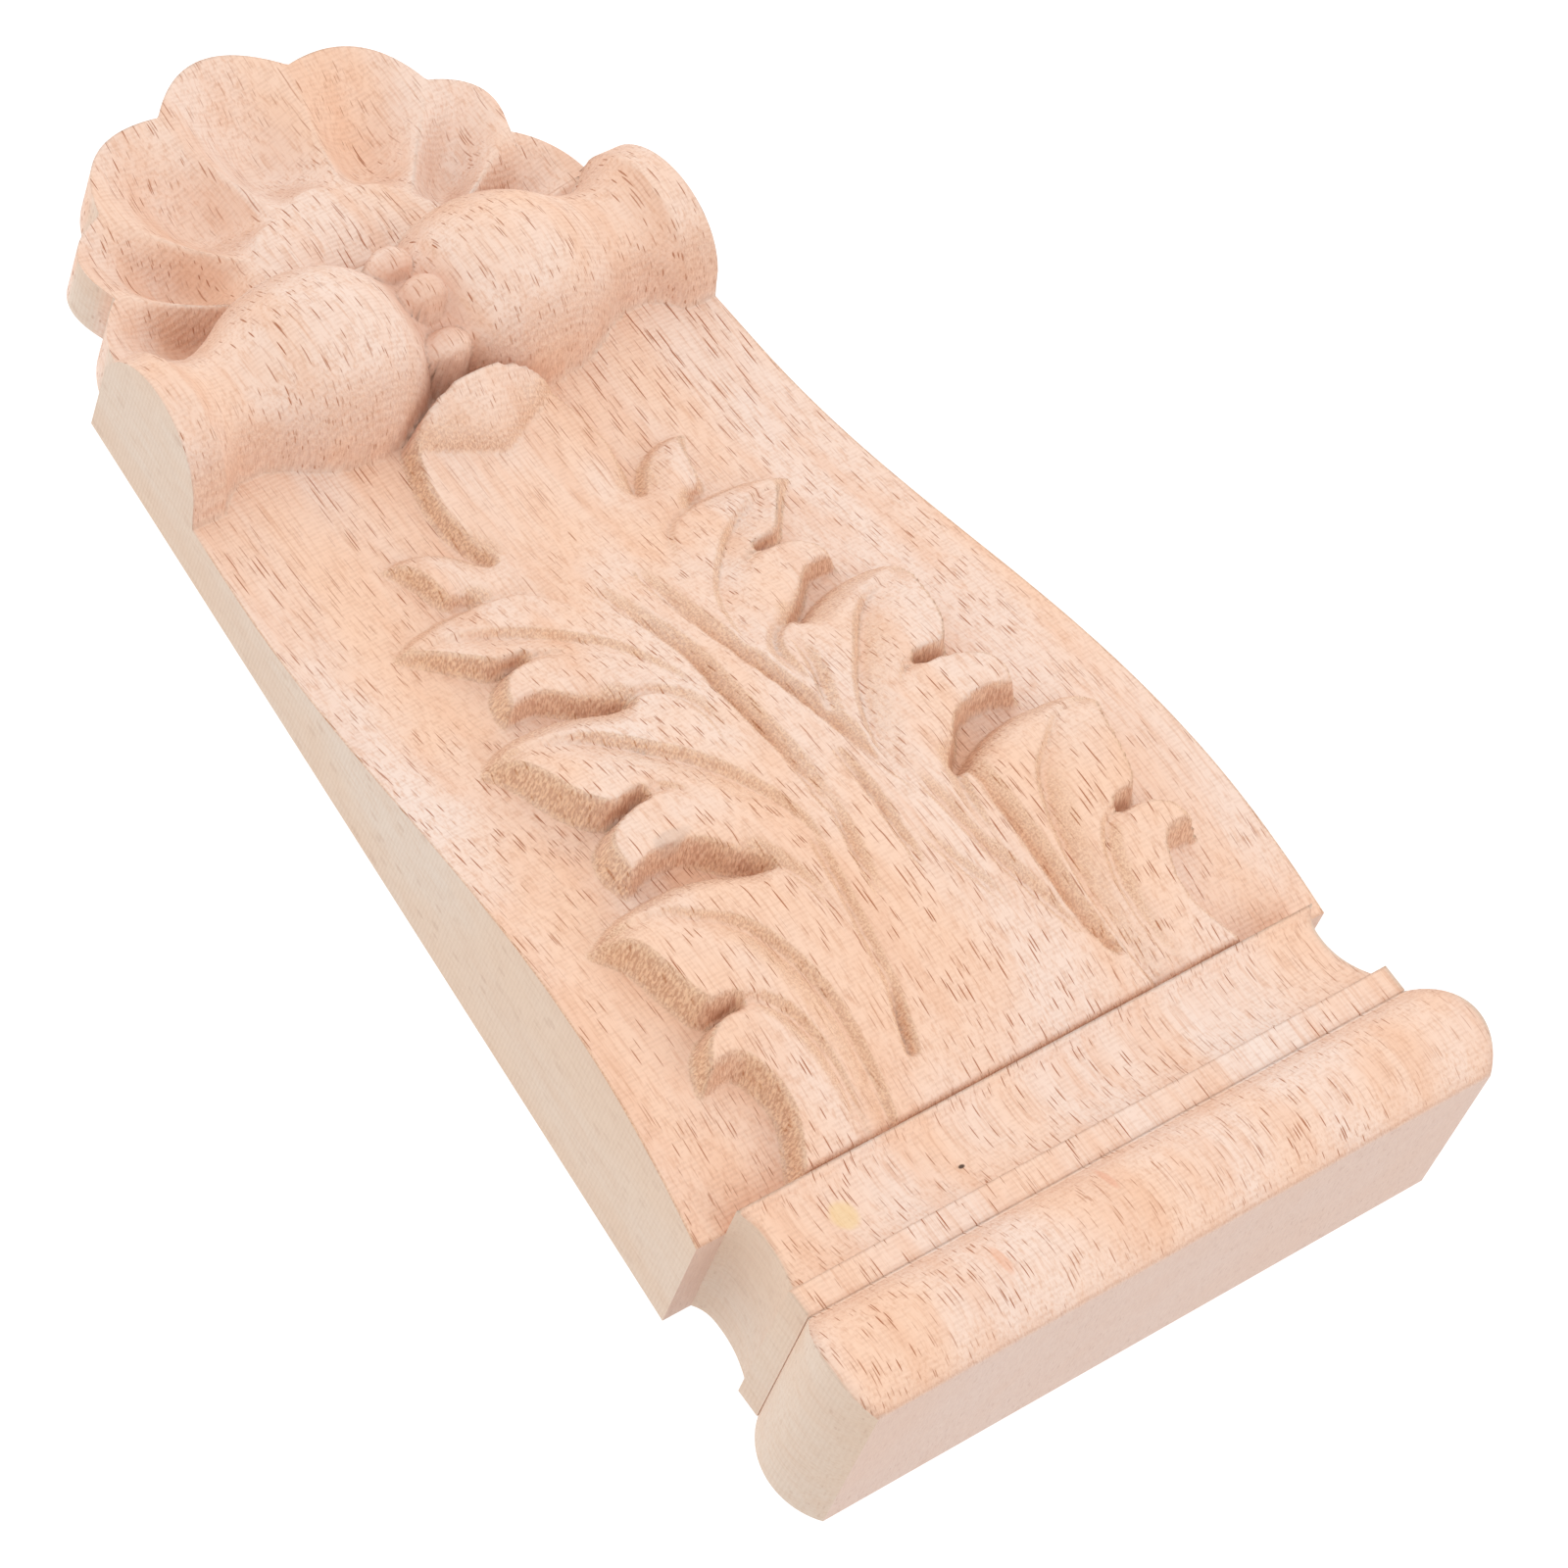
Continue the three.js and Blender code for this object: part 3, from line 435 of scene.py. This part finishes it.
def abacus_patch():
    rows = np.concatenate([
        np.linspace(0, OVOLO_BOTTOM, 26),
        [OVOLO_BOTTOM + STEP],
        np.linspace(OVOLO_BOTTOM + 0.6, FILLET_BOTTOM, 6),
        [FILLET_BOTTOM + STEP],
        np.linspace(FILLET_BOTTOM + 0.6, ABACUS_DEPTH, 20),
    ])
    s = np.linspace(-1, 1, ABACUS_COLUMNS)
    out = projection(rows)
    x = s[None, :] * (NECK_HALF_WIDTH + out - INSET)[:, None]
    u = np.repeat(np.maximum(rows, INSET)[:, None], len(s), 1)
    h = np.repeat((NECK_HEIGHT + out - INSET)[:, None], len(s), 1)
    return closed_patch(x, u, h)


def half_width(u):
    return BODY_TOP_HALF_WIDTH + (u - ABACUS_DEPTH) * (BODY_FOOT_HALF_WIDTH - BODY_TOP_HALF_WIDTH) / (
        BODY_FOOT - ABACUS_DEPTH
    )


def body_patch():
    rows = np.linspace(ABACUS_DEPTH, BODY_FOOT, BODY_ROWS)
    s = np.linspace(-1, 1, COLUMNS + 1)
    x = s[None, :] * (half_width(rows) - INSET)[:, None]
    u = np.repeat(rows[:, None], len(s), 1)
    return closed_patch(x, u, height(x, u) - INSET)


def shell_patch():
    s = np.linspace(-1, 1, COLUMNS + 1)
    top_x = s * SHELL_TOP_HALF_WIDTH
    outline = np.vstack([RIM[::-1] * (-1, 1), RIM[1:]])
    step = np.hypot(*np.diff(outline, axis=0).T)
    run = np.concatenate([[0], np.cumsum(step)])
    at = (s + 1) / 2 * run[-1]
    rim_x = np.interp(at, run, outline[:, 0]) * (1 - INSET / 30)
    rim_u = np.interp(at, run, outline[:, 1]) - INSET
    t = np.linspace(0, 1, SHELL_ROWS)[:, None]
    x = top_x[None, :] * (1 - t) + rim_x[None, :] * t
    u = BODY_FOOT * (1 - t) + rim_u[None, :] * t
    return closed_patch(x, u, height(x, u) - INSET)


def corbel_mesh():
    vertices, faces, smooth_faces = [], [], []
    offset = 0
    for points, quads, flat in (abacus_patch(), body_patch(), shell_patch()):
        vertices.append(points)
        faces += [tuple(int(v) + offset for v in f) for f in quads]
        smooth_faces += [True] * len(quads)
        faces += [tuple(int(v) + offset for v in f) for f in flat]
        smooth_faces += [False] * len(flat)
        offset += len(points)
    mesh = bpy.data.meshes.new("corbel_relief")
    mesh.from_pydata((np.vstack(vertices) * MM).tolist(), [], faces)
    mesh.polygons.foreach_set("use_smooth", smooth_faces)
    mesh.validate()
    mesh.update()
    return mesh


class Nodes:
    """Small helper to chain shader nodes."""

    def __init__(self, tree):
        self.tree = tree

    def add(self, kind, **settings):
        node = self.tree.nodes.new(kind)
        for key, value in settings.items():
            setattr(node, key, value)
        return node

    def put(self, socket, value):
        if hasattr(value, "links"):
            self.tree.links.new(value, socket)
        else:
            socket.default_value = value

    def math(self, operation, a, b=0.0):
        node = self.add("ShaderNodeMath", operation=operation)
        self.put(node.inputs[0], a)
        self.put(node.inputs[1], b)
        return node.outputs[0]

    def band(self, value, low, high, out_low=0.0, out_high=1.0):
        node = self.add("ShaderNodeMapRange", interpolation_type="SMOOTHSTEP")
        for socket, v in zip(node.inputs[:5], (value, low, high, out_low, out_high)):
            self.put(socket, v)
        return node.outputs[0]

    def scaled(self, vector, scale):
        node = self.add("ShaderNodeMapping")
        self.put(node.inputs["Vector"], vector)
        node.inputs["Scale"].default_value = scale
        return node.outputs[0]

    def noise(self, vector, scale, detail=2.0, roughness=0.5):
        node = self.add("ShaderNodeTexNoise")
        self.put(node.inputs["Vector"], vector)
        self.put(node.inputs["Scale"], scale)
        self.put(node.inputs["Detail"], detail)
        self.put(node.inputs["Roughness"], roughness)
        return node.outputs["Fac"]

    def mix(self, factor, a, b):
        node = self.add("ShaderNodeMix", data_type="RGBA")
        self.put(node.inputs[0], factor)
        self.put(node.inputs[6], a)
        self.put(node.inputs[7], b)
        return node.outputs[2]


def srgb(r, g, b):
    def one(c):
        c /= 255
        return c / 12.92 if c <= 0.04045 else ((c + 0.055) / 1.055) ** 2.4
    return (one(r), one(g), one(b), 1.0)


# Colours of the wood
COOL_WOOD = (242, 217, 202)
WARM_WOOD = (244, 206, 180)
STREAK = (234, 184, 152)
PALE_WOOD = (241, 224, 214)
FINE_GRAIN = (218, 168, 136)
VESSEL = (170, 98, 56)
# darker tones for carved walls and groove flanks, partly torn fibres and partly painted shade
TORN_FIBRES_AND_PAINTED_SHADE = ((188, 136, 100), (244, 206, 168))
CROSS_CUT = ((206, 158, 134), (232, 194, 170))
CUTTER_ROW = (186, 134, 104)
SIDE_WOOD = (216, 202, 184)
END_WOOD = (226, 205, 195)
# Spacing of the vessels across, into and along the grain in millimetres, and where their pattern starts
VESSELS = [(0.4, 2.4, 9, 3.1), (0.36, 1.6, 6, 7.7)]
VESSEL_RADIUS = 0.25
RIDGE_PITCH = 0.62
WAVE_PERIOD = 0.314  # of the wave texture at scale 1
# Levels, in millimetres above the middle, between which the turned parts and the shell's open sides begin
TURNED_FROM = (-38, -41)
SHELL_SIDE_FROM = (-64, -66)
# Marks, and painted shade in the recess below the leaf's tip and around the waist beads: across, down, half
# width, half length, strength, colour
MARKS_AND_PAINTED_SHADE = [
    (16.4, 22.6, 0.55, 0.35, 1.0, (92, 70, 56)),
    (32.6, 24.2, 2.0, 2.2, 0.55, (238, 205, 142)),
    (23.1, 8.7, 0.8, 2.6, 0.5, (232, 170, 136)),
    (4.9, 11.2, 0.7, 2.4, 0.5, (226, 160, 130)),
    (22.3, 74.1, 2.6, 1.3, 0.35, (196, 176, 164)),
    # painted shade in the recess below the leaf's tip and around the beads of the waist
    (0.0, 156.5, 5.5, 9.0, 0.45, (222, 172, 146)),
]


def side_and_abacus(n, where, facing):
    """Masks of the planed sides and of the abacus."""
    slant = (BODY_TOP_HALF_WIDTH - BODY_FOOT_HALF_WIDTH) / (BODY_FOOT - ABACUS_DEPTH)
    middle = (BODY_FOOT_HALF_WIDTH - slant * (LENGTH / 2 - BODY_FOOT)) * MM
    level = where.outputs[2]
    outer = n.math("SUBTRACT", n.math("ABSOLUTE", where.outputs[0]), n.math("MULTIPLY", level, slant))
    outer = n.band(outer, middle - 0.8 * MM, middle - 0.4 * MM)
    outer = n.math("MAXIMUM", outer, n.band(level, *(limit * MM for limit in SHELL_SIDE_FROM)))
    seam = LENGTH / 2 * MM - ABACUS_DEPTH * MM
    abacus = n.band(level, seam - 0.2 * MM, seam)
    side = n.math("MULTIPLY", n.band(facing, 0.9, 0.97), outer)
    side = n.math("MAXIMUM", side, n.math("MULTIPLY", abacus, n.band(facing, 0.5, 0.7)))
    return side, abacus


def vessels(n, place, width, deep, long, seed):
    """Dark vessels of the wood, long along the grain."""
    shift = n.add("ShaderNodeMapping")
    n.put(shift.inputs["Vector"], place)
    shift.inputs["Location"].default_value = (seed, seed * 0.7, seed * 0.3)
    shift.inputs["Scale"].default_value = (1 / (width * MM), 1 / (deep * MM), 1 / (long * MM))
    cells = n.add("ShaderNodeTexVoronoi", feature="F1")
    n.put(cells.inputs["Vector"], shift.outputs[0])
    cells.inputs["Scale"].default_value = 1.0
    split = n.add("ShaderNodeSeparateXYZ")
    n.put(split.inputs[0], cells.outputs["Color"])
    there = n.band(cells.outputs["Distance"], VESSEL_RADIUS, VESSEL_RADIUS * 0.6)
    return n.math("MULTIPLY", there, n.band(split.outputs[1], 0.0, 1.0))


def soft_patch(n, where, streak, colour, across, down, wide, long, strength, tone):
    """Colour with one soft-edged patch laid over it on the front, used for marks and for painted shade."""
    dx = n.math("DIVIDE", n.math("SUBTRACT", where.outputs[0], across * MM), wide * MM)
    dz = n.math("DIVIDE", n.math("SUBTRACT", where.outputs[2], (LENGTH / 2 - down) * MM), long * MM)
    off = n.math("SQRT", n.math("ADD", n.math("MULTIPLY", dx, dx), n.math("MULTIPLY", dz, dz)))
    off = n.math("ADD", off, n.math("MULTIPLY", n.math("SUBTRACT", streak, 0.5), 1.2))
    front = n.band(where.outputs[1], -3 * MM, -5 * MM)
    cover = n.math("MULTIPLY", n.math("MULTIPLY", n.band(off, 1.1, 0.6), front), strength)
    return n.mix(cover, colour, srgb(*tone))


def wood_material():
    """Pale hardwood with its grain along Z."""
    material = bpy.data.materials.new("rubberwood")
    material.use_nodes = True
    tree = material.node_tree
    tree.nodes.clear()
    n = Nodes(tree)
    out = n.add("ShaderNodeOutputMaterial")
    surface = n.add("ShaderNodeBsdfPrincipled")
    tree.links.new(surface.outputs[0], out.inputs["Surface"])
    place = n.add("ShaderNodeTexCoord").outputs["Object"]
    where = n.add("ShaderNodeSeparateXYZ")
    n.put(where.inputs[0], place)
    normal = n.add("ShaderNodeSeparateXYZ")
    n.put(normal.inputs[0], n.add("ShaderNodeNewGeometry").outputs["Normal"])
    facing = n.math("ABSOLUTE", normal.outputs["X"])
    side, abacus = side_and_abacus(n, where, facing)
    uncut = n.math("SUBTRACT", 1.0, side)
    turned = n.band(where.outputs[2], *(limit * MM for limit in TURNED_FROM))

    # Carved walls and flanks of grooves, darkened with torn fibres and painted shade, and cuts across the
    # grain
    steep = n.band(n.math("ABSOLUTE", normal.outputs["Y"]), 0.9, 0.5)
    steep = n.math("MAXIMUM", steep, n.band(facing, 0.16, 0.45, 0.0, 0.7))
    steep = n.math("MULTIPLY", steep, n.math("SUBTRACT", 1.0, abacus))
    steep = n.math("MULTIPLY", steep, n.math("SUBTRACT", 1.0, turned))
    grain_cut = n.band(n.math("ABSOLUTE", normal.outputs["Z"]), 0.45, 0.8)
    cut = n.math("MULTIPLY", n.math("MAXIMUM", steep, grain_cut), uncut)

    # Changes of colour along the board
    broad = n.noise(n.scaled(place, (42, 42, 15)), 1.0, 3.0, 0.55)
    pale = n.noise(n.scaled(place, (30, 30, 22)), 1.0, 3.0, 0.6)
    streak = n.noise(n.scaled(place, (260, 200, 9)), 1.0, 4.0, 0.6)
    fine = n.noise(n.scaled(place, (2600, 2600, 110)), 1.0, 3.0, 0.65)
    colour = n.mix(n.band(broad, 0.36, 0.64), srgb(*COOL_WOOD), srgb(*WARM_WOOD))
    for layer, low, high, strength, tone in (
        (streak, 0.42, 0.7, 0.42, STREAK),
        (pale, 0.52, 0.7, 0.6, PALE_WOOD),
        (fine, 0.45, 0.72, 0.55, FINE_GRAIN),
    ):
        colour = n.mix(n.math("MULTIPLY", n.band(layer, low, high), strength), colour, srgb(*tone))

    # Vessels, denser in some regions and faint on the sides
    region = n.band(n.noise(n.scaled(place, (60, 60, 25)), 1.0, 1.0), 0.32, 0.58, 0.45, 1.0)
    dark = n.math("MAXIMUM", *(vessels(n, place, *sizes) for sizes in VESSELS))
    dark = n.math("MULTIPLY", dark, region)
    dark = n.math("MULTIPLY", dark, n.math("SUBTRACT", 1.0, n.math("MULTIPLY", side, 0.6)))
    colour = n.mix(dark, colour, srgb(*VESSEL))

    # Torn fibres and painted shade on walls and groove flanks, torn fibres on cross cuts, and fine rows left
    # by the cutter
    ridges = n.add("ShaderNodeTexWave", wave_type="BANDS", bands_direction="Z")
    n.put(ridges.inputs["Vector"], place)
    ridges.inputs["Scale"].default_value = 1 / (RIDGE_PITCH * MM) * WAVE_PERIOD
    ridges.inputs["Distortion"].default_value = 1.5
    ridges.inputs["Detail"].default_value = 3.0
    ridges.inputs["Detail Scale"].default_value = 3.0
    ridge = ridges.outputs["Fac"]
    fibres = n.noise(n.scaled(place, (5200, 420, 3600)), 1.0, 2.0, 0.6)
    for mask, strength, (deep, light) in ((steep, 0.62, TORN_FIBRES_AND_PAINTED_SHADE), (grain_cut, 0.5, CROSS_CUT)):
        tone = n.mix(n.band(fibres, 0.38, 0.62), srgb(*deep), srgb(*light))
        colour = n.mix(n.math("MULTIPLY", n.math("MULTIPLY", mask, uncut), strength), colour, tone)
    patches = n.band(n.noise(n.scaled(place, (900, 900, 900)), 1.0), 0.4, 0.6)
    rows = n.math("MULTIPLY", ridge, patches)
    colour = n.mix(n.math("MULTIPLY", rows, 0.16), colour, srgb(*CUTTER_ROW))

    for values in MARKS_AND_PAINTED_SHADE:
        colour = soft_patch(n, where, streak, colour, *values)

    # Planed sides and the sawn top end
    colour = n.mix(n.math("MULTIPLY", side, 0.55), colour, srgb(*SIDE_WOOD))
    end = n.math("MULTIPLY", n.band(normal.outputs["Z"], 0.8, 0.95), abacus)
    colour = n.mix(n.math("MULTIPLY", end, 0.6), colour, srgb(*END_WOOD))
    n.put(surface.inputs["Base Color"], colour)
    surface.inputs["Roughness"].default_value = 0.62
    surface.inputs["Specular IOR Level"].default_value = 0.3

    relief = n.math("MULTIPLY", ridge, n.math("ADD", n.math("MULTIPLY", cut, 0.35), 0.35))
    relief = n.math("SUBTRACT", relief, n.math("MULTIPLY", dark, 0.5))
    relief = n.math("ADD", relief, n.math("MULTIPLY", fine, 0.5))
    relief = n.math("ADD", relief, n.math("MULTIPLY", n.math("MULTIPLY", fibres, cut), 0.9))
    bump = n.add("ShaderNodeBump")
    bump.inputs["Strength"].default_value = 0.7
    bump.inputs["Distance"].default_value = 0.12 * MM
    n.put(bump.inputs["Height"], relief)
    n.put(surface.inputs["Normal"], bump.outputs[0])
    return material


corbel = bpy.data.objects.new("corbel_visual", corbel_mesh())
bpy.context.scene.collection.objects.link(corbel)
corbel.data.materials.append(wood_material())
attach(corbel, "root")
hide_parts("corbel")

# Floor
FLOOR_DROP = 0.45
FLOOR_REACH = 4
floor_mesh = bpy.data.meshes.new("floor")
corners = [(x * FLOOR_REACH, y * FLOOR_REACH, -FLOOR_DROP) for x, y in ((-1, -1), (1, -1), (1, 1), (-1, 1))]
floor_mesh.from_pydata(corners, [], [(0, 1, 2, 3)])
floor = bpy.data.objects.new("floor", floor_mesh)
bpy.context.scene.collection.objects.link(floor)
paint = bpy.data.materials.new("floor_paint")
paint.use_nodes = True
shader = paint.node_tree.nodes["Principled BSDF"]
shader.inputs["Base Color"].default_value = (0.9, 0.9, 0.9, 1)
shader.inputs["Roughness"].default_value = 0.9
shader.inputs["Emission Color"].default_value = (1, 1, 1, 1)
shader.inputs["Emission Strength"].default_value = 0.35
floor.data.materials.append(paint)

# Camera where the photograph was taken from
CAMERA_PLACE = (0.37670, -0.64587, 0.27748)
CAMERA_TURN = (-66.587, -35.050, -163.119)
CAMERA_LENS = 148.31
camera_data = bpy.data.cameras.new("camera")
camera_data.sensor_width = 36
camera_data.lens = CAMERA_LENS
camera_data.clip_start = 0.05
camera = bpy.data.objects.new("camera", camera_data)
camera.location = CAMERA_PLACE
camera.rotation_euler = tuple(math.radians(a) for a in CAMERA_TURN)
bpy.context.scene.collection.objects.link(camera)
bpy.context.scene.camera = camera

# Even white surroundings, a key light from above and left of the camera and a weak fill from its right
world = bpy.data.worlds.new("world")
world.use_nodes = True
background = world.node_tree.nodes["Background"]
background.inputs["Color"].default_value = (1, 0.99, 0.98, 1)
background.inputs["Strength"].default_value = 0.85
bpy.context.scene.world = world

basis = camera.rotation_euler.to_matrix()
right, up, back = (basis @ Vector(v) for v in ((1, 0, 0), (0, 1, 0), (0, 0, 1)))


def lamp(name, direction, distance, size, energy):
    data = bpy.data.lights.new(name, "AREA")
    data.shape = "DISK"
    data.size = size
    data.energy = energy
    light = bpy.data.objects.new(name, data)
    light.location = direction.normalized() * distance
    light.rotation_euler = direction.to_track_quat("Z", "Y").to_euler()
    bpy.context.scene.collection.objects.link(light)


lamp("key", up * 0.9 - right * 0.45 + back * 0.55, 1.1, 0.55, 9.0)
lamp("fill", right * 0.9 + back * 0.7 - up * 0.1, 1.2, 1.0, 3.0)

bpy.context.scene.view_settings.view_transform = "Standard"
bpy.context.scene.view_settings.look = "None"
